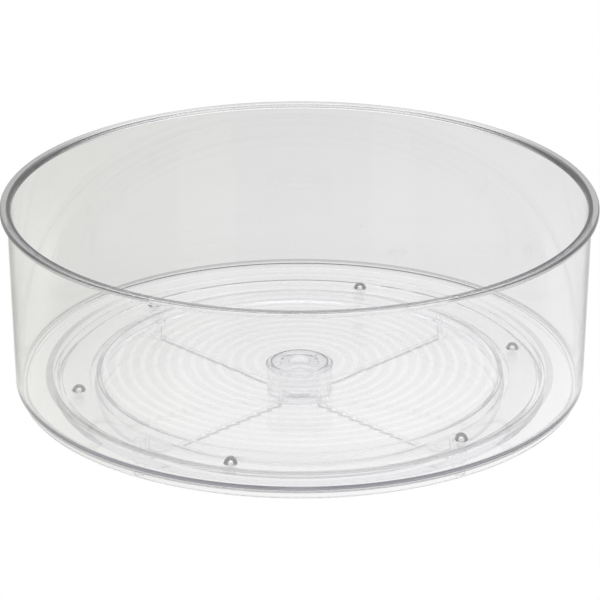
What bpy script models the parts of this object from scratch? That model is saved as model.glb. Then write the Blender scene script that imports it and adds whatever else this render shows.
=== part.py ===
"""Clear round turntable organiser: a tall-walled clear bin that turns on six
steel balls over a small clear base.  Metres, +Z up, origin on the spin axis in
the plane of the feet.  Dimensions below are in mm; R is a radius from the axis
of the part, Z a height above the table, T a thickness."""

import math

import bmesh
import bpy
from mathutils import Matrix, Vector

MM = 0.001
GAP = 0.3                # running gap between separate pieces

# ---- bin ---------------------------------------------------------------------
RIM_R = 140.0            # outside of the rim lip
RIM_TOP = 106.1
LIP_T = 2.5              # lip thickness, top to bottom
WALL_TOP_R = 136.7       # outside of the wall under the lip
WALL_BOT_R = 135.2       # outside of the wall at its foot (moulding draft)
WALL_T = 2.3             # at the floor
WALL_TOP_T = 1.8         # at the rim
FLOOR_FILLET = 0.9       # inside corner between wall and floor
FLOOR_TOP = 22.6         # raised middle of the floor
FLOOR_T = 2.4
EDGE_DROP = 1.5          # the floor slopes down by this towards the wall
EDGE_IN, EDGE_OUT = 112.0, 121.2     # where that slope starts and ends, on top
EDGE_INSET = 0.4         # the slope's underside lies this much further in
FOOT_STEP_Z = 18.6       # where the wall steps in to the skirt
SKIRT_R = 133.4
SKIRT_T = 2.4
SKIRT_Z = 15.0           # underside of the skirt
SKIRT_DRAFT = 0.1
BOSS_R = 15.7            # boss under the bin's floor
BORE_R = 9.4

# ---- balls and cage ----------------------------------------------------------
BALL_R = 3.0
BALL_CIRCLE_R = 106.8
BALLS = 6
BALL_PHASE = 13.3        # degrees, first ball from +X
CAGE_IN, CAGE_OUT = 100.2, 113.4
CAGE_T = 2.2
CAGE_DROP = 0.8          # middle of the cage below the ball centres

# ---- base --------------------------------------------------------------------
BASE_R = 117.4           # outside of the base's outer ring wall
RING_TOP = 18.7          # top of both ring walls
OUTER_RING_T = 1.7       # outer ring wall, at its top
INNER_RING_R = 97.2      # ball-channel side of the inner ring wall
INNER_RING_T = 2.2
RING_EDGE = 0.4          # chamfers on top of the inner ring wall
BASE_EDGE = 0.5          # chamfers on the outer ring wall
RACE_T = 2.2             # floor of the ball channel
CHANNEL_FILLET = 2.0     # outer corner of the channel
DISH_TOP = 4.7           # top of the low middle plate
DISH_T = 2.0
DISH_EDGE = 0.7          # chamfer round the underside of the plate

RIB_T = 1.6
RIB_Z = 0.3              # underside of the four ribs
RIB_IN, RIB_OUT = 12.5, 99.2
RIB_OVERLAP = 1.1        # how far the ribs rise into the plate
GUSSET_IN, GUSSET_OUT = 96.0, 100.5   # the rib's tall end under the ball channel
GUSSET_T = RIB_T - 0.2
GUSSET_OVERLAP = 0.5     # how far the gussets rise into the channel floor

# ---- pivot plug and clip -----------------------------------------------------
HEAD_R = 13.4            # the plug's head, flush with the bin's floor
HEAD_T = 1.7
HEAD_DISH = 0.5          # depth of the hollow in the head
HEAD_DISH_BOT_R, HEAD_DISH_TOP_R = 8.6, 9.3
HEAD_EDGE = 0.3
STEM_R = 9.1
NECK_R = 5.0
GROOVE_R = NECK_R - 0.8  # bottom of the clip groove
CLIP_R = 9.0
CLIP_EDGE = 0.2

# ---- feet --------------------------------------------------------------------
FOOT_CIRCLE_R = 102.5
FEET = 4
FIRST_DIAGONAL = 45.0    # degrees, first foot and first rib from +X
FOOT_R = 3.0
FOOT_T = 2.8
PEG_R = 1.5
FOOT_BOSS_R = 3.4
BOSS_OVERLAP = 0.6       # how far the foot bosses rise into the channel floor
BORE_DEPTH = 0.3         # how far the peg bores rise into the channel floor
BORE_OVERCUT = 1.0       # how far the bore cutters start below the bosses
PEG_SHORT = 0.3          # peg tops below the channel floor's underside

# ---- mesh density ------------------------------------------------------------
FINE, MEDIUM, COARSE = 72, 36, 20     # segments round a turn
BALL_SEGMENTS, BALL_RINGS = 16, 10
SHARP_ANGLE = math.radians(32.0)

# ---- heights worked out down through the stack -------------------------------
FLOOR_BOT = FLOOR_TOP - FLOOR_T
COUNTERBORE_Z = FLOOR_TOP - HEAD_T - GAP
BALL_Z = FLOOR_BOT - GAP - BALL_R
CAGE_Z = BALL_Z - CAGE_DROP
RACE_TOP = BALL_Z - BALL_R - GAP
RACE_BOT = RACE_TOP - RACE_T
DISH_BOT = DISH_TOP - DISH_T
STEM_BOT = DISH_TOP + GAP
BOSS_BOT = STEM_BOT + 0.1
GROOVE_TOP, GROOVE_BOT, NECK_END = DISH_BOT - 0.2, DISH_BOT - 1.5, DISH_BOT - 2.0
CLIP_TOP, CLIP_BOT = GROOVE_TOP - GAP, GROOVE_BOT + GAP
FOOT_BOSS_BOT = FOOT_T + GAP

# ---- scene and collections ---------------------------------------------------
for old in list(bpy.data.objects):
    bpy.data.objects.remove(old, do_unlink=True)


def new_collection(name, hidden=False):
    made = bpy.data.collections.new(name)
    bpy.context.scene.collection.children.link(made)
    made.hide_render = hidden
    return made


PARTS = new_collection("turntable_organiser")
CUTTERS = new_collection("cutters", hidden=True)   # shapes used by the Booleans


# ---- materials ---------------------------------------------------------------
def principled(name, colour, roughness, metallic=0.0, transmission=0.0, ior=1.5):
    material = bpy.data.materials.new(name)
    material.use_nodes = True
    inputs = material.node_tree.nodes["Principled BSDF"].inputs
    inputs["Base Color"].default_value = (*colour, 1.0)
    inputs["Roughness"].default_value = roughness
    inputs["Metallic"].default_value = metallic
    inputs["Transmission Weight"].default_value = transmission
    inputs["IOR"].default_value = ior
    viewport_alpha = 0.4 if transmission else 1.0
    material.diffuse_color = (*colour, viewport_alpha)
    return material


def clear_plastic(piece, colour, roughness):
    return principled(f"clear_plastic_{piece}", colour, roughness, transmission=0.9, ior=1.58)


CLEAR_BIN = clear_plastic("bin", colour=(0.90, 0.92, 0.91), roughness=0.04)
CLEAR_BASE = clear_plastic("base", colour=(0.88, 0.90, 0.90), roughness=0.05)
CLEAR_CAGE = clear_plastic("cage", colour=(0.86, 0.88, 0.88), roughness=0.08)
CLEAR_PLUG = clear_plastic("plug", colour=(0.86, 0.87, 0.88), roughness=0.05)
CLEAR_CLIP = clear_plastic("clip", colour=(0.84, 0.85, 0.86), roughness=0.10)
STEEL = principled("polished_steel", colour=(0.72, 0.72, 0.73), roughness=0.12, metallic=1.0)
SOFT_CLEAR = principled("soft_clear_foot", colour=(0.80, 0.81, 0.80), roughness=0.35,
                        transmission=0.5, ior=1.45)


# ---- building helpers --------------------------------------------------------
def to_mesh(name, shape):
    """Turn a bmesh into a named mesh and free it."""
    mesh = bpy.data.meshes.new(name)
    shape.to_mesh(mesh)
    shape.free()
    return mesh


def linked(name, mesh, collection=PARTS):
    obj = bpy.data.objects.new(name, mesh)
    collection.objects.link(obj)
    return obj


def helper(name, shape):
    """A Boolean's other shape: wireframe in the viewport, never rendered."""
    obj = linked(name, to_mesh(name, shape), CUTTERS)
    obj.hide_render = True
    obj.display_type = "WIRE"
    return obj


def outline_mesh(name, profile, material, closed):
    """The edges through a profile's points, in the XZ plane."""
    outline = bmesh.new()
    points = [outline.verts.new((r * MM, 0.0, z * MM)) for r, z in profile]
    for start, end in zip(points, points[1:]):
        outline.edges.new((start, end))
    if closed:
        outline.edges.new((points[-1], points[0]))
    mesh = to_mesh(name, outline)
    mesh.materials.append(material)
    mesh.shade_smooth()
    mesh.set_sharp_from_angle(angle=SHARP_ANGLE)
    return mesh


def add_turn(obj, segments):
    screw = obj.modifiers.new("turn", "SCREW")
    screw.axis = "Z"
    screw.angle = math.tau
    screw.steps = segments
    screw.render_steps = segments
    screw.use_merge_vertices = True
    screw.merge_threshold = 0.00001
    screw.use_smooth_shade = True


def turned(name, profile, material, segments, closed=True):
    """A profile of (radius, height) in mm turned about Z by a Screw modifier.
    The profile's outer side runs from top to bottom.  An open profile starts
    and ends on the axis."""
    obj = linked(name, outline_mesh(name, profile, material, closed))
    add_turn(obj, segments)
    return obj


def boolean(obj, other, operation):
    made = obj.modifiers.new(f"{operation.lower()}_{other.name}", "BOOLEAN")
    made.operation = operation
    made.solver = "EXACT"
    made.object = other


def around(count, radius, phase_deg):
    """Number (from 1), place and angle of each of `count` stations on a circle."""
    for k in range(count):
        angle = math.radians(phase_deg + 360.0 * k / count)
        at = Vector((radius * MM * math.cos(angle), radius * MM * math.sin(angle), 0.0))
        yield k + 1, at, angle


def arc(centre_r, centre_z, radius, start_deg, end_deg, steps):
    """Points of an arc in the profile plane, both ends included."""
    angles = [math.radians(start_deg + (end_deg - start_deg) * i / steps)
              for i in range(steps + 1)]
    return [(centre_r + radius * math.cos(angle), centre_z + radius * math.sin(angle))
            for angle in angles]


def cylinders(name, stations, radius, low, high):
    """Upright cylinders at the stations, as one helper."""
    shape = bmesh.new()
    low, high = low * MM, high * MM
    for _, at, _ in stations:
        bmesh.ops.create_cone(
            shape, cap_ends=True, segments=COARSE,
            radius1=radius * MM, radius2=radius * MM, depth=high - low,
            matrix=Matrix.Translation(at + Vector((0, 0, (low + high) / 2))))
    return helper(name, shape)


def four_bars(name, r_in, r_out, width, low, high):
    """Four radial bars in an X, as one helper."""
    bars = bmesh.new()
    size = Matrix.Diagonal(((r_out - r_in) * MM, width * MM, (high - low) * MM, 1.0))
    place = Matrix.Translation(((r_in + r_out) / 2 * MM, 0.0, (low + high) / 2 * MM))
    for k in range(4):
        turn = Matrix.Rotation(math.radians(FIRST_DIAGONAL + 90.0 * k), 4, "Z")
        bmesh.ops.create_cube(bars, size=1.0, matrix=turn @ place @ size)
    return helper(name, bars)


# ---- bin: lip, wall, floor, skirt and pivot boss in one moulding -------------
def make_bin():
    inner_top = WALL_TOP_R - WALL_TOP_T
    inner_bot = WALL_BOT_R - WALL_T
    skirt_in = SKIRT_R - SKIRT_T
    lip_bot = RIM_TOP - LIP_T
    edge_top = FLOOR_TOP - EDGE_DROP
    edge_bot = FLOOR_BOT - EDGE_DROP
    turned("bin", [
        # lip
        (RIM_R - 0.5, RIM_TOP),
        (RIM_R, RIM_TOP - 0.6),
        (RIM_R, lip_bot + 0.4),
        (RIM_R - 0.4, lip_bot),
        # outside of the wall, then the skirt
        (WALL_TOP_R, lip_bot),
        (WALL_BOT_R, FOOT_STEP_Z + 0.6),
        (WALL_BOT_R - 0.5, FOOT_STEP_Z),
        (SKIRT_R, FOOT_STEP_Z - 0.3),
        (SKIRT_R - SKIRT_DRAFT, SKIRT_Z),
        (skirt_in, SKIRT_Z),
        # underside of the floor
        (skirt_in, edge_bot),
        (EDGE_OUT - EDGE_INSET, edge_bot),
        (EDGE_IN - EDGE_INSET, FLOOR_BOT),
        # boss, bore and counterbore
        (BOSS_R, FLOOR_BOT),
        (BOSS_R, BOSS_BOT),
        (BORE_R, BOSS_BOT),
        (BORE_R, COUNTERBORE_Z),
        (HEAD_R + GAP, COUNTERBORE_Z),
        (HEAD_R + GAP, FLOOR_TOP),
        # top of the floor and inside of the wall
        (EDGE_IN, FLOOR_TOP),
        (EDGE_OUT, edge_top),
        *arc(inner_bot - FLOOR_FILLET, edge_top + FLOOR_FILLET, FLOOR_FILLET,
             start_deg=-90.0, end_deg=0.0, steps=3),
        (inner_top, RIM_TOP - 0.7),
        (inner_top + 0.7, RIM_TOP),
    ], CLEAR_BIN, FINE)


# ---- base: middle dish, ball channel, two ring walls, ribs, foot bosses ------
def foot_stations():
    return around(FEET, FOOT_CIRCLE_R, FIRST_DIAGONAL)


def make_base():
    ring_in = INNER_RING_R - INNER_RING_T
    base = turned("base", [
        # outside and underside
        (BASE_R, RING_TOP - BASE_EDGE),
        (BASE_R, RACE_BOT + BASE_EDGE),
        (BASE_R - BASE_EDGE, RACE_BOT),
        (INNER_RING_R, RACE_BOT),
        (INNER_RING_R, DISH_BOT + DISH_EDGE),
        (INNER_RING_R - DISH_EDGE, DISH_BOT),
        # neck hole and top of the dish
        (NECK_R + GAP, DISH_BOT),
        (NECK_R + GAP, DISH_TOP),
        (ring_in, DISH_TOP),
        # inner ring wall
        (ring_in, RING_TOP - RING_EDGE),
        (ring_in + RING_EDGE, RING_TOP),
        (INNER_RING_R - RING_EDGE, RING_TOP),
        (INNER_RING_R, RING_TOP - RING_EDGE),
        # ball channel and outer ring wall
        (INNER_RING_R, RACE_TOP),
        *arc(CAGE_OUT + GAP, RACE_TOP + CHANNEL_FILLET, CHANNEL_FILLET,
             start_deg=-90.0, end_deg=-12.0, steps=4),
        (BASE_R - OUTER_RING_T, RING_TOP),
        (BASE_R - BASE_EDGE, RING_TOP),
    ], CLEAR_BASE, FINE)

    boolean(base, four_bars("rib_blanks", RIB_IN, RIB_OUT, RIB_T,
                            RIB_Z, DISH_BOT + RIB_OVERLAP), "UNION")
    boolean(base, four_bars("gusset_blanks", GUSSET_IN, GUSSET_OUT, GUSSET_T,
                            DISH_BOT + DISH_EDGE, RACE_BOT + GUSSET_OVERLAP), "UNION")
    boolean(base, cylinders("foot_boss_blanks", foot_stations(), FOOT_BOSS_R,
                            FOOT_BOSS_BOT, RACE_BOT + BOSS_OVERLAP), "UNION")
    boolean(base, cylinders("foot_peg_bores", foot_stations(), PEG_R + GAP,
                            FOOT_BOSS_BOT - BORE_OVERCUT, RACE_BOT + BORE_DEPTH), "DIFFERENCE")


# ---- ball cage: flat ring with a round pocket for each ball ------------------
def ball_stations():
    return around(BALLS, BALL_CIRCLE_R, BALL_PHASE)


def make_cage():
    low = CAGE_Z - CAGE_T / 2
    high = low + CAGE_T
    cage = turned("ball_cage", [
        (CAGE_OUT - 0.2, high),
        (CAGE_OUT, high - 0.3),
        (CAGE_OUT - 0.2, low),
        (CAGE_IN, low),
        (CAGE_IN, high - 0.3),
        (CAGE_IN + 0.3, high),
    ], CLEAR_CAGE, FINE)
    # The cutters stand clear of the cage by its thickness, above and below.
    boolean(cage, cylinders("ball_pockets", ball_stations(), BALL_R + GAP,
                            low - CAGE_T, high + CAGE_T), "DIFFERENCE")
    return cage


def make_balls(cage):
    """Balls sharing one mesh, parented to the cage."""
    sphere = bmesh.new()
    bmesh.ops.create_uvsphere(sphere, u_segments=BALL_SEGMENTS, v_segments=BALL_RINGS,
                              radius=BALL_R * MM)
    mesh = to_mesh("ball", sphere)
    mesh.materials.append(STEEL)
    mesh.shade_smooth()
    for number, at, angle in ball_stations():
        ball = linked(f"ball_{number}", mesh)
        ball.location = at + Vector((0, 0, BALL_Z * MM))
        ball.rotation_euler = (0.0, 0.0, angle)
        ball.parent = cage


# ---- pivot plug: flush head, stem through the bin's boss, neck through the base
def make_plug():
    turned("pivot_plug", [
        (0.0, FLOOR_TOP - HEAD_DISH),
        (HEAD_DISH_BOT_R, FLOOR_TOP - HEAD_DISH),
        (HEAD_DISH_TOP_R, FLOOR_TOP),
        (HEAD_R - HEAD_EDGE, FLOOR_TOP),
        (HEAD_R, FLOOR_TOP - HEAD_EDGE),
        (HEAD_R, FLOOR_TOP - HEAD_T),
        (STEM_R, FLOOR_TOP - HEAD_T),
        (STEM_R, STEM_BOT),
        (NECK_R, STEM_BOT),
        (NECK_R, GROOVE_TOP),
        (GROOVE_R, GROOVE_TOP),
        (GROOVE_R, GROOVE_BOT),
        (NECK_R, GROOVE_BOT),
        (NECK_R - 0.4, NECK_END),
        (0.0, NECK_END),
    ], CLEAR_PLUG, MEDIUM, closed=False)


def make_clip():
    """Ring in the neck's groove, under the base's dish."""
    turned("pivot_clip", [
        (CLIP_R - CLIP_EDGE, CLIP_TOP),
        (CLIP_R, CLIP_TOP - CLIP_EDGE),
        (CLIP_R, CLIP_BOT + CLIP_EDGE),
        (CLIP_R - CLIP_EDGE, CLIP_BOT),
        (GROOVE_R + GAP, CLIP_BOT),
        (GROOVE_R + GAP, CLIP_TOP),
    ], CLEAR_CLIP, MEDIUM)


def make_feet():
    """Round feet with a peg on top, sharing one outline."""
    peg_top = RACE_BOT - PEG_SHORT
    mesh = outline_mesh("foot_1", [
        (0.0, peg_top),
        (PEG_R - 0.3, peg_top),
        (PEG_R, peg_top - 0.4),
        (PEG_R, FOOT_T),
        (FOOT_R - 0.3, FOOT_T),
        (FOOT_R, FOOT_T - 0.3),
        (FOOT_R, 0.4),
        (FOOT_R - 0.4, 0.0),
        (0.0, 0.0),
    ], SOFT_CLEAR, closed=False)
    for number, at, _ in foot_stations():
        foot = linked(f"foot_{number}", mesh)
        foot.location = at
        add_turn(foot, COARSE)


make_bin()
make_base()
make_balls(make_cage())
make_plug()
make_clip()
make_feet()
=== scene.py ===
"""A clear turntable bin: a round bin turning on six steel balls over a fixed base.

The turning axis is Z through the origin, the feet stand on z = 0 and the camera looks from -Y,
so front is -Y and left is -X. Dimensions are in millimetres; MM turns them into scene metres.
"""

import math

import bmesh
import bpy
from mathutils import Matrix, Vector


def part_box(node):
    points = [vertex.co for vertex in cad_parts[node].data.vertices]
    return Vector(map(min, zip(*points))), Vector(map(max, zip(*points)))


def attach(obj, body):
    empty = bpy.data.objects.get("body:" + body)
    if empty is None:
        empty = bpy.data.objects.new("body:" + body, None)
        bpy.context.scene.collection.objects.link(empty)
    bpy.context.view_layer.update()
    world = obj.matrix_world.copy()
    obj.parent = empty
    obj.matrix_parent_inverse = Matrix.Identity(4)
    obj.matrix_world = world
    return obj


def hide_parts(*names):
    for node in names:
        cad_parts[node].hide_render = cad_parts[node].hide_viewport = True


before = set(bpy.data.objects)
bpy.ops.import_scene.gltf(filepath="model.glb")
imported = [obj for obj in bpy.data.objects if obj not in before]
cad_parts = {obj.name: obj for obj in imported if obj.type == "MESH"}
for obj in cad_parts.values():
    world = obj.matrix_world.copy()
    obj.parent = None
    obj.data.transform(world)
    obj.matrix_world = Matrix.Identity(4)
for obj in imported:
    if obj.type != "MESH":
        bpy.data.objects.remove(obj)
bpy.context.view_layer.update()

MM = 0.001
scene = bpy.context.scene


# =============================================================== dimensions ==
bin_low, bin_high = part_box("bin")
base_low, base_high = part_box("base")

SEGMENTS = 360                # around the bin, base and cage
GAP = 0.3                     # clearance between moving parts

# bin: lip and wall
RIM_R = (bin_high.x - bin_low.x) / 2 / MM
RIM_TOP = bin_high.z / MM
LIP_T = 2.5
LIP_BOT = RIM_TOP - LIP_T
WALL_TOP_R = 136.7
WALL_BOT_R = 135.2
WALL_TOP_T = 1.8
WALL_BOT_T = 2.3
STEP_Z = 18.6                 # the wall steps in to the skirt here
SKIRT_BOT = 15.0
SKIRT_R = 133.4
SKIRT_T = 2.4

# bin: floor, sloping down near the wall, and the pivot boss under it
FLOOR_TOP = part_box("pivot_plug")[1].z / MM   # the plug's head is flush with the floor
FLOOR_BOT = FLOOR_TOP - 2.4
SLOPE_DROP = 1.5
SLOPE_IN = 112.0
SLOPE_OUT = 121.2
SLOPE_BEND = 45.0             # bending radius at both ends of the slope
BOSS_BOT = bin_low.z / MM
BOSS_R = 15.7
BORE_R = 9.4

# low rounded rings on the floor
RIDGE_FIRST = 21.0
RIDGE_PITCH = 6.006
RIDGES = 13
RIDGE_LAST = RIDGE_FIRST + RIDGE_PITCH * (RIDGES - 1)
RIDGE_HALF = 2.4
RIDGE_H = 0.010

# balls and their cage
BALL_R = 3.0
BALL_CIRCLE = 106.8
BALL_Z = FLOOR_BOT - GAP - BALL_R
POCKET_R = BALL_R + GAP
CAGE_IN = 100.2
CAGE_OUT = 113.4
CAGE_T = 2.2
CAGE_LOW = BALL_Z - 0.8 - CAGE_T / 2

# base: ball channel, the ring wall inside it, and the dished plate
BASE_R = (base_high.x - base_low.x) / 2 / MM
RING_TOP = base_high.z / MM
RING_IN = 95.0
RING_OUT = 97.2
RING_EDGE = 0.35              # the ring wall's top edges lie this far in from its faces
RIB_Z = base_low.z / MM
RACE_TOP = BALL_Z - BALL_R - GAP
RACE_BOT = RACE_TOP - 2.2
DISH_TOP = 4.7
DISH_BOT = 2.7
FOOT_CIRCLE = 102.5

# pivot plug
HEAD_R = 13.4
HEAD_BOT = FLOOR_TOP - 1.7
SHAFT_R = 9.1
PIN_R = 5.0

DIAGONALS = [math.radians(45.0 + 90.0 * k) for k in range(4)]   # feet and ribs
POCKETS = [(BALL_CIRCLE * math.cos(angle), BALL_CIRCLE * math.sin(angle))
           for angle in (math.radians(13.3 + 60.0 * k) for k in range(6))]


# ================================================================= mesh code ==
def rounded(corners, steps):
    """A closed profile from corners of (radius, height, bend); bend is the corner's rounding."""
    out = []
    for i, (x, z, bend) in enumerate(corners):
        if bend <= 0:
            out.append((x, z))
            continue
        before, after = corners[i - 1], corners[(i + 1) % len(corners)]
        back = Vector((before[0] - x, before[1] - z))
        ahead = Vector((after[0] - x, after[1] - z))
        back_length, ahead_length = back.length, ahead.length
        back.normalize()
        ahead.normalize()
        half = math.acos(max(-1.0, min(1.0, back.dot(ahead)))) / 2
        # a bend too large for its sides is shrunk to fit
        cut = min(bend / math.tan(half), 0.49 * back_length, 0.49 * ahead_length)
        fitted = cut * math.tan(half)
        corner = Vector((x, z))
        centre = corner + (back + ahead).normalized() * (fitted / math.sin(half))
        start = corner + back * cut - centre
        end = corner + ahead * cut - centre
        first = math.atan2(start.y, start.x)
        turn = math.atan2(start.x * end.y - start.y * end.x, start.dot(end))
        for k in range(steps + 1):
            angle = first + turn * k / steps
            out.append((centre.x + fitted * math.cos(angle), centre.y + fitted * math.sin(angle)))
    return out


def mesh_object(name, shape):
    """Turns a bmesh into an object in the scene."""
    mesh = bpy.data.meshes.new(name)
    shape.to_mesh(mesh)
    shape.free()
    obj = bpy.data.objects.new(name, mesh)
    scene.collection.objects.link(obj)
    return obj


def lathe(name, profile, segments, closed=True, at=(0.0, 0.0)):
    """Turns a (radius, height) profile about a vertical axis; its outer side runs downwards.

    An open profile starts and ends on the axis."""
    shape = bmesh.new()
    rings = []
    for radius, z in profile:
        if radius < 1e-6:
            rings.append([shape.verts.new((at[0] * MM, at[1] * MM, z * MM))])
            continue
        ring = []
        for k in range(segments):
            angle = math.tau * k / segments
            ring.append(shape.verts.new(((at[0] + radius * math.cos(angle)) * MM,
                                         (at[1] + radius * math.sin(angle)) * MM, z * MM)))
        rings.append(ring)
    pairs = list(zip(rings, rings[1:]))
    if closed:
        pairs.append((rings[-1], rings[0]))
    for upper, lower in pairs:
        for k in range(segments):
            n = (k + 1) % segments
            if len(upper) == 1:
                shape.faces.new((upper[0], lower[k], lower[n]))
            elif len(lower) == 1:
                shape.faces.new((upper[k], lower[0], upper[n]))
            else:
                shape.faces.new((upper[k], lower[k], lower[n], upper[n]))
    bmesh.ops.recalc_face_normals(shape, faces=shape.faces)
    return mesh_object(name, shape)


def boolean(obj, tool, operation):
    """Cuts or joins and bakes the result into obj's mesh; the tool is removed."""
    modifier = obj.modifiers.new("join", "BOOLEAN")
    modifier.operation = operation
    modifier.solver = "EXACT"
    modifier.object = tool
    bpy.context.view_layer.update()
    depsgraph = bpy.context.evaluated_depsgraph_get()
    mesh = bpy.data.meshes.new_from_object(obj.evaluated_get(depsgraph))
    obj.modifiers.clear()
    old, obj.data = obj.data, mesh
    mesh.name = obj.name
    bpy.data.meshes.remove(old)
    bpy.data.objects.remove(tool, do_unlink=True)


def drill(obj, name, radius, top, bottom, segments, at):
    """Cuts an upright round hole."""
    profile = [(0, top), (radius, top), (radius, bottom), (0, bottom)]
    boolean(obj, lathe(name, profile, segments, closed=False, at=at), "DIFFERENCE")


def dress(obj, material, sharp=40.0):
    """Smooth shading whose normals follow the big faces, so that flats stay optically flat."""
    obj.data.materials.clear()
    obj.data.materials.append(material)
    obj.data.shade_smooth()
    obj.data.set_sharp_from_angle(angle=math.radians(sharp))
    weigh = obj.modifiers.new("weigh", "WEIGHTED_NORMAL")
    weigh.mode = "FACE_AREA"
    weigh.weight = 60
    weigh.keep_sharp = True
    return obj


# ================================================================ node trees ==
WHITE = (1.0, 1.0, 1.0, 1.0)


def mm(*lengths):
    """Millimetres as scene metres."""
    return [length * MM for length in lengths]


class Net:
    """Builds the node tree of a material or world. Inputs may be values, sockets or nodes."""

    def __init__(self, owner):
        owner.use_nodes = True
        self.tree = owner.node_tree
        self.tree.nodes.clear()

    def add(self, kind, inputs=None, **settings):
        node = self.tree.nodes.new(kind)
        for key, value in settings.items():
            setattr(node, key, value)
        for key, value in (inputs or {}).items():
            if isinstance(value, bpy.types.Node):
                value = value.outputs[0]
            if isinstance(value, bpy.types.NodeSocket):
                self.tree.links.new(value, node.inputs[key])
            else:
                node.inputs[key].default_value = value
        return node

    def math(self, operation, *values):
        return self.add("ShaderNodeMath", dict(enumerate(values)), operation=operation).outputs[0]

    def mul(self, product, *factors):
        for factor in factors:
            product = self.math("MULTIPLY", product, factor)
        return product

    def ramp(self, value, over, to=(0.0, 1.0)):
        """Eases from to[0] to to[1] while value goes over its range."""
        return self.add("ShaderNodeMapRange", {
            "Value": value, "From Min": over[0], "From Max": over[1],
            "To Min": to[0], "To Max": to[1]}, interpolation_type="SMOOTHSTEP").outputs[0]

    def near(self, value, centre, half, soft):
        """1 within half of centre, falling to 0 over soft; all three in millimetres."""
        away = self.math("ABSOLUTE", self.math("SUBTRACT", value, centre * MM))
        return self.ramp(away, over=mm(half, half + soft), to=(1.0, 0.0))

    def noise(self, where, **inputs):
        return self.add("ShaderNodeTexNoise", {"Vector": where, **inputs}).outputs["Fac"]

    def split(self, vector):
        return self.add("ShaderNodeSeparateXYZ", {"Vector": vector}).outputs

    def radius(self, x, y):
        return self.math("SQRT", self.math("ADD", self.mul(x, x), self.mul(y, y)))

    def over_radius(self, value, radius):
        """value / radius, safe at the axis."""
        return self.math("DIVIDE", value, self.math("MAXIMUM", radius, 0.01))

    def sideness(self, x, radius):
        """0 at the front and back, 1 at the far left and right."""
        return self.over_radius(self.math("ABSOLUTE", x), radius)

    def mix_colour(self, factor, first, second):
        return self.add("ShaderNodeMix", {0: factor, 6: first, 7: second},
                        data_type="RGBA").outputs[2]

    def mix_shader(self, factor, first, second):
        return self.add("ShaderNodeMixShader", {0: factor, 1: first, 2: second})


# ============================================================ surface marks ==
# Each function gives three masks (or None): how much a spot is greyed by painted shade and
# painted reflections, frosted, and seen straight through.
RING_FROST = 0.09             # rings on the bin's floor
WALL_END_PAINTED_REFLECTION = 1.0           # top of the wall at far left and right
LIP_END_PAINTED_REFLECTION = 0.50           # lip at far left and right
SLOPE_BAND_R = 119.7          # band near the foot of the floor's slope
SLOPE_PAINTED_SHADE = 0.54             # that band at the sides
SLOPE_CLEAR = 0.30            # and at the front
FOOT_PAINTED_SHADE = 0.50              # foot of the bin's wall
FRONT_RIM_CLEAR = 0.34        # front of the rim
RIB_PAINTED_SHADE = 0.62               # ribs under the base
RING_EDGE_PAINTED_SHADE = 0.52              # top edges of the base's ring wall
POCKET_FROST = 0.92           # walls of the ball pockets


def bin_marks(net, where):
    x, y, z = net.split(where)
    radius = net.radius(x, y)

    # the floor's rings catch the light a little more than the clear floor between them
    phase = net.mul(net.math("SUBTRACT", radius, RIDGE_FIRST * MM), math.tau / (RIDGE_PITCH * MM))
    ring = net.ramp(net.math("COSINE", phase), over=(-0.2, 1.0))
    inside = net.near(radius, (RIDGE_FIRST + RIDGE_LAST) / 2,
                      half=(RIDGE_LAST - RIDGE_FIRST) / 2 + 1.8, soft=1.2)
    top = net.near(z, FLOOR_TOP, half=0.4, soft=0.2)
    uneven = net.ramp(net.noise(where, Scale=26.0, Detail=1.5), over=(0.25, 0.75), to=(0.6, 1.0))
    frost = net.mul(ring, inside, top, uneven, RING_FROST)

    # painted reflection: the rim is darkened at its left and right ends, where it would pick up
    # the dark flags, wherever the bin is turned
    world_x, world_y, _ = net.split(net.add("ShaderNodeNewGeometry").outputs["Position"])
    ends = net.math("ADD", net.sideness(world_x, radius),
                    net.ramp(world_y, over=(-0.02, 0.02), to=(0.10, 0.0)))
    ends = net.ramp(ends, over=(0.60, 0.99), to=(0.12, 1.0))
    high = net.ramp(z, over=mm(LIP_BOT - 0.5, LIP_BOT))
    lip = net.ramp(radius, over=mm(WALL_TOP_R - 0.1, WALL_TOP_R + 0.3),
                   to=(WALL_END_PAINTED_REFLECTION, LIP_END_PAINTED_REFLECTION))
    grey = net.mul(ends, high, lip)

    # painted shade: the foot of the floor's slope gets a grey band at the sides, a little weaker
    # at the right
    side = net.sideness(world_x, radius)
    band = net.mul(net.near(radius, SLOPE_BAND_R, half=1.6, soft=0.3),
                   net.near(z, FLOOR_TOP - SLOPE_DROP / 2, half=0.9, soft=0.1))
    shade = net.mul(net.ramp(side, over=(0.66, 0.95), to=(0.0, SLOPE_PAINTED_SHADE)),
                    net.ramp(world_x, over=(-0.02, 0.02), to=(1.0, 0.65)))
    grey = net.math("MAXIMUM", grey, net.mul(band, shade))

    # painted shade: a grey band at the foot of the wall's outer face
    foot = net.mul(net.near(z, STEP_Z + 1.7, half=1.4, soft=0.2),
                   net.ramp(radius, over=mm(WALL_BOT_R - 0.5, WALL_BOT_R - 0.3)))
    grey = net.math("MAXIMUM", grey, net.mul(foot, FOOT_PAINTED_SHADE))

    # towards the front, rim and band are shown partly straight through, which lightens them:
    # painted light
    front = net.over_radius(net.mul(world_y, -1.0), radius)
    rim = net.mul(net.ramp(front, over=(0.5, 0.9), to=(0.0, FRONT_RIM_CLEAR)), high)
    band = net.mul(band, net.ramp(front, over=(0.25, 0.75), to=(0.0, SLOPE_CLEAR)))
    return grey, frost, net.math("MAXIMUM", rim, band)


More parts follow.
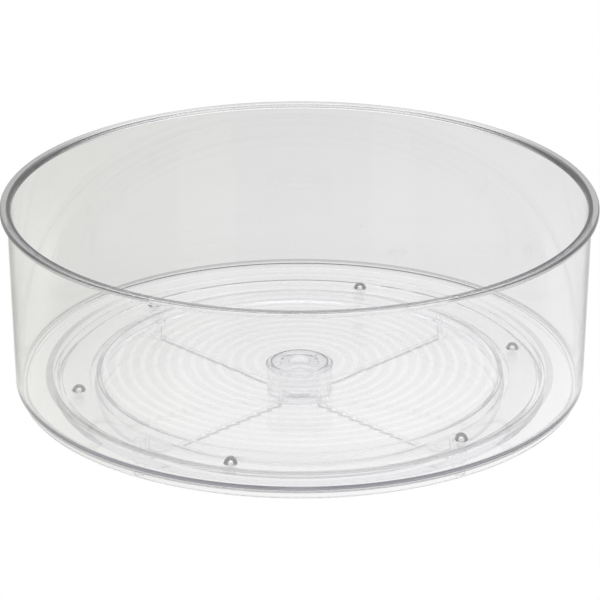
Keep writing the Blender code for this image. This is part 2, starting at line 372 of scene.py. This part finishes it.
def base_marks(net, where):
    x, y, z = net.split(where)

    # painted shade: the ribs on the diagonals are greyed so they read darker than the plate, less
    # so at the front
    offsets = [net.math("ABSOLUTE", net.mul(net.math(operation, x, y), math.sqrt(0.5)))
               for operation in ("ADD", "SUBTRACT")]
    rib = net.ramp(net.math("MINIMUM", *offsets), over=mm(0.75, 0.95), to=(1.0, 0.0))
    low = net.ramp(z, over=mm(RIB_Z + 1.2, RIB_Z + 1.3), to=(1.0, 0.0))
    reach = net.ramp(y, over=(-0.03, 0.02), to=(0.85, 1.0))
    ribs = net.mul(rib, low, reach, RIB_PAINTED_SHADE)

    # painted shade: the two top edges of the ring wall are greyed, most at the sides
    radius = net.radius(x, y)
    edge = net.math("MAXIMUM", *[net.near(radius, at, half=0.35, soft=0.15)
                                 for at in (RING_IN + RING_EDGE, RING_OUT - RING_EDGE)])
    top = net.near(z, RING_TOP, half=0.6, soft=0.1)
    side = net.ramp(net.sideness(x, radius), over=(0.35, 0.75), to=(0.25, 1.0))
    return net.math("MAXIMUM", ribs, net.mul(edge, top, side, RING_EDGE_PAINTED_SHADE)), None, None


def cage_marks(net, where):
    """The walls of the ball pockets are left matt by the tool."""
    x, y, _ = net.split(where)
    nearest = None
    for centre_x, centre_y in POCKETS:
        away = net.radius(net.math("SUBTRACT", x, centre_x * MM),
                          net.math("SUBTRACT", y, centre_y * MM))
        nearest = away if nearest is None else net.math("MINIMUM", nearest, away)
    wall = net.ramp(nearest, over=mm(POCKET_R + 0.05, POCKET_R + 0.25), to=(1.0, 0.0))
    return None, net.mul(wall, POCKET_FROST), None


# ================================================================= materials ==
def clear_plastic(name, tint, density, wave, scratch, speck, rough=0.010,
                  volume=(0.64, 0.64, 0.67), marks=None, glow=(0.36, 0.35, 0.40)):
    """Clear moulded plastic.

    wave: bump depth in metres; scratch, speck: strength of hair scratches and dust specks;
    density, volume: how strongly and to which colour light is absorbed; glow: the colour that
    light trapped in the plastic fades to; marks: a function giving the surface masks."""
    material = bpy.data.materials.new(name)
    net = Net(material)
    where = net.add("ShaderNodeTexCoord").outputs["Object"]

    # slow flow waves of the moulding, a few centimetres long
    flow = net.noise(where, Scale=38.0, Detail=2.0, Roughness=0.45)
    # fine hair scratches: a very stretched noise, thresholded
    stretch = net.add("ShaderNodeMapping", {"Vector": where, "Scale": (900.0, 900.0, 55.0),
                                            "Rotation": (0.35, 0.2, 0.6)})
    hairs = net.ramp(net.noise(stretch, Scale=1.0, Detail=3.0, Roughness=0.6), over=(0.66, 0.74))
    # dust specks: small dots in a few of the cells
    rare_above = 0.985
    cells = net.add("ShaderNodeTexVoronoi", {"Vector": where, "Scale": 190.0}, feature="F1")
    pick = net.add("ShaderNodeSeparateColor", {"Color": cells.outputs["Color"]})
    rare = net.math("GREATER_THAN", pick.outputs[0], rare_above)
    dot = net.ramp(cells.outputs["Distance"], over=(0.045, 0.075), to=(1.0, 0.0))
    specks = net.mul(rare, dot)

    height = net.math("MULTIPLY_ADD", flow, 1.0, net.mul(hairs, scratch))
    bump = net.add("ShaderNodeBump", {"Height": height, "Strength": 1.0, "Distance": wave})

    hair_rough, speck_rough = 0.04, 0.3
    roughness = net.math("MULTIPLY_ADD", hairs, hair_rough, rough)
    roughness = net.math("MULTIPLY_ADD", specks, speck_rough, roughness)
    dust = (0.25, 0.24, 0.22, 1.0)
    colour = net.mix_colour(net.mul(specks, speck), (*tint, 1.0), dust)

    grey, frost, clear = marks(net, where) if marks else (None, None, None)
    # the grey mask mixes in near black: painted shade and painted reflections
    if grey is not None:
        painted_shade_black = (0.010, 0.010, 0.012, 1.0)
        colour = net.mix_colour(grey, colour, painted_shade_black)
    shader = net.add("ShaderNodeBsdfPrincipled", {
        "Base Color": colour, "Roughness": roughness, "IOR": 1.58, "Transmission Weight": 1.0,
        "Normal": bump})
    if frost is not None:
        chalk = net.add("ShaderNodeBsdfDiffuse", {"Color": (0.93, 0.93, 0.93, 1.0)})
        shader = net.mix_shader(frost, shader, chalk)
    if clear is not None:
        straight = net.add("ShaderNodeBsdfTransparent", {"Color": (0.99, 0.99, 0.99, 1.0)})
        shader = net.mix_shader(clear, shader, straight)

    # light from lamps reaches through the clear walls instead of being shut out
    path = net.add("ShaderNodeLightPath")
    through = net.add("ShaderNodeBsdfTransparent", {"Color": (0.93, 0.935, 0.935, 1.0)})
    blocked = net.math("MAXIMUM", path.outputs["Is Shadow Ray"], path.outputs["Is Diffuse Ray"])
    surface = net.mix_shader(blocked, shader, through)

    # painted light: the plastic glows faintly from within, so light that stays trapped in it
    # fades towards that glow, not to black
    soak = net.add("ShaderNodeVolumeAbsorption", {"Color": (*volume, 1.0), "Density": density})
    lost = [density * (1.0 - channel) for channel in volume]
    painted_glow_colour = [loss * channel for loss, channel in zip(lost, glow)]
    painted_glow = net.add("ShaderNodeEmission", {"Color": (*painted_glow_colour, 1.0), "Strength": 1.0})
    inside = net.add("ShaderNodeAddShader", {0: soak, 1: painted_glow})
    net.add("ShaderNodeOutputMaterial", {"Surface": surface, "Volume": inside})
    return material


def polished_steel(name):
    """Steel with a fine grain and faint blotches, and a painted dark edge where it turns away
    from the eye.
    """
    bright = (0.93, 0.93, 0.94)
    dull = (bright[0] * 0.86, bright[1] * 0.86, bright[2] * 0.88)
    painted_dark_edge = (0.05, 0.05, 0.055, 1.0)
    rough = 0.05
    material = bpy.data.materials.new(name)
    net = Net(material)
    where = net.add("ShaderNodeTexCoord").outputs["Object"]
    grain = net.noise(where, Scale=1400.0, Detail=4.0, Roughness=0.6)
    blotch = net.noise(where, Scale=420.0, Detail=2.0)
    colour = net.mix_colour(net.ramp(blotch, over=(0.35, 0.7)), (*bright, 1.0), (*dull, 1.0))
    facing = net.add("ShaderNodeLayerWeight", {"Blend": 0.5}).outputs["Facing"]
    # painted reflection: the edge turning away from the eye is darkened
    colour = net.mix_colour(net.ramp(facing, over=(0.04, 0.15)), colour, painted_dark_edge)
    roughness = net.math("MULTIPLY_ADD", grain, rough, rough * 0.5)
    bump = net.add("ShaderNodeBump", {"Height": grain, "Strength": 0.4, "Distance": 0.000002})
    shader = net.add("ShaderNodeBsdfPrincipled", {
        "Base Color": colour, "Metallic": 1.0, "Roughness": roughness, "Normal": bump})
    net.add("ShaderNodeOutputMaterial", {"Surface": shader})
    return material


BIN_CLEAR = clear_plastic("bin_clear", tint=(0.99, 0.99, 0.99), density=24.0, wave=0.000012,
                          scratch=0.25, speck=0.8, marks=bin_marks)
BASE_CLEAR = clear_plastic("base_clear", tint=(0.99, 0.99, 0.99), density=36.0, wave=0.00001,
                           scratch=0.2, speck=0.4, marks=base_marks, glow=(0.58, 0.56, 0.62))
CAGE_CLEAR = clear_plastic("cage_clear", tint=(0.98, 0.98, 0.975), density=30.0, wave=0.00001,
                           scratch=0.2, speck=0.2, marks=cage_marks, glow=(0.70, 0.69, 0.72))
PLUG_CLEAR = clear_plastic("plug_clear", tint=(0.985, 0.985, 0.99), density=20.0, wave=0.000012,
                           scratch=0.3, speck=0.3, volume=(0.60, 0.60, 0.66),
                           glow=(0.66, 0.66, 0.70))
FOOT_CLEAR = clear_plastic("foot_clear", tint=(0.97, 0.97, 0.97), density=36.0, wave=0.00001,
                           scratch=0.3, speck=0.0, rough=0.06, glow=(0.75, 0.74, 0.76))
BALL_STEEL = polished_steel("ball_steel")
CLIP_CLEAR = clear_plastic("clip_clear", tint=(0.97, 0.97, 0.98), density=20.0, wave=0.00001,
                           scratch=0.3, speck=0.0, rough=0.05)


# ==================================================================== pieces ==
# Tables of corners hold (radius, height, rounding).
def ridge_points(centre):
    """A low rounded ring on the floor, as profile points from the axis outwards."""
    return [(centre - RIDGE_HALF + 2 * RIDGE_HALF * i / 8,
             FLOOR_TOP + RIDGE_H * 0.5 * (1 - math.cos(math.tau * i / 8))) for i in range(9)]


def make_bin():
    skirt_in = SKIRT_R - SKIRT_T
    recess_r, recess_z = HEAD_R + GAP, HEAD_BOT - GAP   # the plug's head sits in it
    profile = rounded([
        (RIM_R, RIM_TOP, 1.0),
        (RIM_R, LIP_BOT, 0.8),
        (WALL_TOP_R, LIP_BOT, 0.5),
        (WALL_BOT_R, STEP_Z, 0.6),
        (SKIRT_R, STEP_Z - 0.3, 0.3),
        (SKIRT_R - 0.1, SKIRT_BOT, 0.5),
        (skirt_in, SKIRT_BOT, 0.4),
        (skirt_in, FLOOR_BOT - SLOPE_DROP, 0.8),
        (SLOPE_OUT - 0.4, FLOOR_BOT - SLOPE_DROP, SLOPE_BEND),
        (SLOPE_IN - 0.4, FLOOR_BOT, SLOPE_BEND),
        (BOSS_R, FLOOR_BOT, 0.5),
        (BOSS_R, BOSS_BOT, 0.5),
        (BORE_R, BOSS_BOT, 0.3),
        (BORE_R, recess_z, 0.2),
        (recess_r, recess_z, 0.1),
        (recess_r, FLOOR_TOP, 0.25),
        (SLOPE_IN, FLOOR_TOP, SLOPE_BEND),
        (SLOPE_OUT, FLOOR_TOP - SLOPE_DROP, SLOPE_BEND),
        (WALL_BOT_R - WALL_BOT_T, FLOOR_TOP - SLOPE_DROP, 0.9),
        (WALL_TOP_R - WALL_TOP_T, RIM_TOP, 1.0),
    ], steps=6)
    # the flat floor is the profile's only long step outwards; the ridges go into it
    floor_end = next(i for i in range(1, len(profile)) if profile[i][0] - profile[i - 1][0] > 50)
    profile[floor_end:floor_end] = [point for k in range(RIDGES)
                                    for point in ridge_points(RIDGE_FIRST + RIDGE_PITCH * k)]
    return dress(lathe("clear_bin", profile, SEGMENTS), BIN_CLEAR)


def make_base():
    # the channel's outer corner is an arc from straight down to level
    curve_angles = [math.radians(-88.0 + 76.0 * i / 12) for i in range(13)]
    curve_r = 2.0
    obj = lathe("clear_base", rounded([
        (BASE_R, RING_TOP, 0.5),
        (BASE_R, RACE_BOT, 0.6),
        (RING_OUT, RACE_BOT, 1.2),
        (RING_OUT, DISH_BOT, 1.6),
        (PIN_R + GAP, DISH_BOT, 0.2),
        (PIN_R + GAP, DISH_TOP, 0.2),
        (RING_IN, DISH_TOP, 0.8),
        (RING_IN, RING_TOP, 0.5),
        (RING_OUT, RING_TOP, 0.5),
        (RING_OUT, RACE_TOP, 0.7),
        *[(CAGE_OUT + GAP + curve_r * math.cos(angle),
           RACE_TOP + curve_r + curve_r * math.sin(angle), 0.0) for angle in curve_angles],
        (BASE_R - 1.9, RING_TOP, 0.3),
    ], steps=5), SEGMENTS)

    # sockets for the feet
    for angle in DIAGONALS:
        at = (FOOT_CIRCLE * math.cos(angle), FOOT_CIRCLE * math.sin(angle))
        top = RACE_BOT + 0.6
        boss = lathe("boss", [(0, top), (3.4, top), (3.4, 3.4), (3.1, 3.1), (0, 3.1)],
                     40, closed=False, at=at)
        boolean(obj, boss, "UNION")
        drill(obj, "bore", radius=1.8, top=RACE_BOT + 0.3, bottom=2.4, segments=32, at=at)

    # four ribs under the plate, each with a tall end under the ball channel
    for name, start, end, low, top, half_low, half_top in (
        ("ribs", 12.5, 99.2, RIB_Z, DISH_BOT + 1.1, 0.38, 0.60),
        ("gussets", 96.0, 100.5, DISH_BOT + 0.7, RACE_BOT + 0.5, 0.70, 0.78),
    ):
        tool = bmesh.new()
        for angle in DIAGONALS:
            turn = Matrix.Rotation(angle, 4, "Z")
            for vert in bmesh.ops.create_cube(tool, size=1.0)["verts"]:
                x = end if vert.co.x > 0 else start
                z = top if vert.co.z > 0 else low
                half = half_top if vert.co.z > 0 else half_low
                y = half if vert.co.y > 0 else -half
                vert.co = turn @ Vector((x * MM, y * MM, z * MM))
        bmesh.ops.recalc_face_normals(tool, faces=tool.faces)
        boolean(obj, mesh_object(name, tool), "UNION")
    return dress(obj, BASE_CLEAR, sharp=38.0)


def make_cage():
    low, high = CAGE_LOW, CAGE_LOW + CAGE_T
    obj = lathe("clear_ball_cage", rounded([
        (CAGE_OUT, high, 0.3),
        (CAGE_OUT - 0.2, low, 0.2),
        (CAGE_IN, low, 0.2),
        (CAGE_IN, high, 0.3),
    ], steps=4), SEGMENTS)
    for at in POCKETS:
        drill(obj, "pocket", radius=POCKET_R, top=high + 1, bottom=low - 1, segments=64, at=at)
    return dress(obj, CAGE_CLEAR)


def make_ball(number):
    low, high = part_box(f"ball_{number}")
    steps = 40
    profile = [(BALL_R * math.sin(math.pi * i / steps), BALL_R * math.cos(math.pi * i / steps))
               for i in range(steps + 1)]
    obj = lathe(f"steel_ball_{number}", profile, 64, closed=False)
    obj.data.transform(Matrix.Translation((low + high) / 2))
    obj.data.materials.append(BALL_STEEL)
    obj.data.shade_smooth()
    return obj


def make_plug():
    """The pivot: a dished head, a shaft through the bin and a grooved pin through the base."""
    profile = rounded([
        (0.0, FLOOR_TOP - 0.5, 0),
        (8.5, FLOOR_TOP - 0.5, 0.4),
        (9.3, FLOOR_TOP, 0.4),
        (HEAD_R, FLOOR_TOP, 0.4),
        (HEAD_R, HEAD_BOT, 0.2),
        (SHAFT_R, HEAD_BOT, 0.3),
        (SHAFT_R, DISH_TOP + GAP, 0.4),
        (PIN_R, DISH_TOP + GAP, 0.2),
        (PIN_R, DISH_BOT - 0.2, 0.1),
        (4.2, DISH_BOT - 0.2, 0.1),
        (4.2, DISH_BOT - 1.5, 0.1),
        (PIN_R, DISH_BOT - 1.5, 0.1),
        (4.6, DISH_BOT - 2.0, 0.1),
        (0.0, DISH_BOT - 2.0, 0),
    ], steps=5)
    return dress(lathe("clear_pivot_plug", profile, 180, closed=False), PLUG_CLEAR)


def make_clip():
    """A flat ring in the groove of the plug's pin."""
    top, low = DISH_BOT - 0.5, DISH_BOT - 1.2
    profile = rounded([(9.0, top, 0.2), (9.0, low, 0.2), (4.5, low, 0.1), (4.5, top, 0.1)],
                      steps=3)
    return dress(lathe("retaining_clip", profile, 120), CLIP_CLEAR)


def make_foot(number):
    low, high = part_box(f"foot_{number}")
    at = ((low.x + high.x) / 2 / MM, (low.y + high.y) / 2 / MM)
    top = high.z / MM
    profile = rounded([
        (0.0, top, 0), (1.5, top, 0.35), (1.5, 2.8, 0.1),
        (3.0, 2.8, 0.35), (3.0, 0.0, 0.5), (0.0, 0.0, 0),
    ], steps=5)
    return dress(lathe(f"clear_foot_{number}", profile, 48, closed=False, at=at), FOOT_CLEAR)


def place(piece, node, body):
    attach(piece, body)
    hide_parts(node)


place(make_bin(), "bin", "bin")
place(make_base(), "base", "base")
place(make_cage(), "ball_cage", "ball_cage")
place(make_plug(), "pivot_plug", "base")
place(make_clip(), "pivot_clip", "base")
for n in range(1, 7):
    place(make_ball(n), f"ball_{n}", f"ball_{n}")
for n in range(1, 5):
    place(make_foot(n), f"foot_{n}", "base")


# ============================================================ floor and light ==
def make_floor():
    """A glowing table: white to the camera, shaded where seen through the plastic."""
    shape = bmesh.new()
    bmesh.ops.create_grid(shape, x_segments=8, y_segments=8, size=6.0)
    floor = mesh_object("floor", shape)
    floor.location.z = -0.0002
    material = bpy.data.materials.new("pale_floor")
    net = Net(material)
    path = net.add("ShaderNodeLightPath")
    geometry = net.add("ShaderNodeNewGeometry")
    x, y, _ = net.split(geometry.outputs["Position"])

    # ranges over x and y are in metres
    # painted shade: a patch at the back left is a little darker
    back_left = net.mul(net.ramp(x, over=(-0.10, -0.05), to=(0.045, 0.0)),
                        net.ramp(y, over=(0.10, 0.20), to=(1.0, 0.0)))
    # brightness rises to the right by this much a metre, within limits
    rise, dimmest, brightest = 0.40, 0.93, 1.045
    across = net.math("MULTIPLY_ADD", x, rise, 1.0)
    across = net.math("MINIMUM", net.math("MAXIMUM", across, dimmest), brightest)
    # beside the object the table is brighter, more so at the left
    beside = net.mul(net.ramp(net.math("ABSOLUTE", x), over=(0.126, 0.142)),
                     net.ramp(y, over=(0.15, 0.32), to=(1.0, 0.0)),
                     net.ramp(x, over=(-0.02, 0.02), to=(0.12, 0.05)))
    level = net.mul(
        net.ramp(y, over=(-0.02, 0.12), to=(0.90, 0.785)),    # dims towards the back
        net.ramp(y, over=(0.24, 0.42), to=(1.0, 0.95)),       # and again further back
        net.ramp(y, over=(-0.10, -0.03), to=(1.03, 1.0)),     # a little brighter in front
        net.math("SUBTRACT", 1.0, back_left),
        across,
        net.math("ADD", beside, 1.0))
    warm = net.ramp(x, over=(-0.20, 0.02), to=(0.955, 1.0))   # less blue at the left
    seen = net.add("ShaderNodeCombineColor", {0: level, 1: level, 2: net.mul(level, warm)})
    colour = net.mix_colour(path.outputs["Is Camera Ray"], seen, WHITE)
    glow = net.add("ShaderNodeEmission", {"Color": colour, "Strength": 1.0})
    # from below, the floor is not in the way
    below = net.add("ShaderNodeBsdfTransparent", {"Color": WHITE})
    sided = net.mix_shader(geometry.outputs["Backfacing"], glow, below)
    net.add("ShaderNodeOutputMaterial", {"Surface": sided})
    floor.data.materials.append(material)


def make_world():
    """A studio painted by direction; ranges are over the direction's x, y and z."""
    world = bpy.data.worlds.new("studio")
    scene.world = world
    net = Net(world)
    x, y, z = net.split(net.add("ShaderNodeTexCoord").outputs["Generated"])
    # dim room in front of the object, bright sweep behind it
    room = net.mix_colour(net.ramp(y, over=(-0.4, 0.7)),
                          (0.55, 0.55, 0.555, 1.0), (0.95, 0.95, 0.95, 1.0))
    # dark flags far left and far right draw the wall's edges
    flag = net.ramp(net.math("ABSOLUTE", x), over=(0.72, 0.84))
    room = net.mix_colour(flag, room, (0.60, 0.60, 0.61, 1.0))
    # overhead soft box
    room = net.mix_colour(net.ramp(z, over=(0.58, 0.72)), room, (1.4, 1.4, 1.4, 1.0))
    # two upright soft boxes, front left and front right
    for left, right, level in ((-0.75, -0.45, 0.9), (0.40, 0.78, 1.0)):
        width = net.mul(net.ramp(x, over=(left, left + 0.06)),
                        net.ramp(x, over=(right - 0.06, right), to=(1.0, 0.0)))
        height = net.mul(net.ramp(z, over=(0.02, 0.10)),
                         net.ramp(z, over=(0.55, 0.65), to=(1.0, 0.0)))
        front = net.ramp(y, over=(-0.05, 0.05), to=(1.0, 0.0))
        room = net.mix_colour(net.mul(width, height, front), room, (level, level, level, 1.0))
    # the camera itself sees plain white
    path = net.add("ShaderNodeLightPath")
    room = net.mix_colour(path.outputs["Is Camera Ray"], room, WHITE)
    shade = net.add("ShaderNodeBackground", {"Color": room, "Strength": 1.0})
    net.add("ShaderNodeOutputWorld", {"Surface": shade})


def make_lights():
    """Two disk lamps aimed at the bin; places and sizes in metres, power in watts."""
    target = Vector((0, 0, 0.04))
    for name, at, size, power in (
        ("key", (-0.55, -0.35, 0.95), 0.7, 7.0),
        ("fill", (0.65, 0.10, 0.80), 0.6, 4.0),
    ):
        lamp = bpy.data.lights.new(name, "AREA")
        lamp.energy = power
        lamp.shape = "DISK"
        lamp.size = size
        obj = bpy.data.objects.new(name, lamp)
        scene.collection.objects.link(obj)
        obj.location = at
        obj.visible_glossy = False
        obj.visible_transmission = False
        obj.rotation_euler = (target - Vector(at)).to_track_quat("-Z", "Y").to_euler()


def make_camera():
    """A long lens in front, looking down; its place is set in rim radii from the skirt's foot."""
    rim = RIM_R * MM
    look_down = 22.55
    data = bpy.data.cameras.new("camera")
    data.sensor_width = 36.0
    data.lens = 190.656
    data.clip_start = 0.05
    data.clip_end = 30.0
    camera = bpy.data.objects.new("camera", data)
    scene.collection.objects.link(camera)
    camera.location = (0.0017 * rim, -9.94 * rim, SKIRT_BOT * MM + 4.41 * rim)
    camera.rotation_euler = (math.radians(90.0 - look_down), 0.0, 0.0)
    scene.camera = camera


make_floor()
make_world()
make_lights()
make_camera()

scene.view_settings.view_transform = "Standard"
scene.view_settings.look = "None"
scene.cycles.transmission_bounces = 24
scene.cycles.transparent_max_bounces = 24
scene.cycles.max_bounces = 28
scene.cycles.glossy_bounces = 10
scene.cycles.use_denoising = True
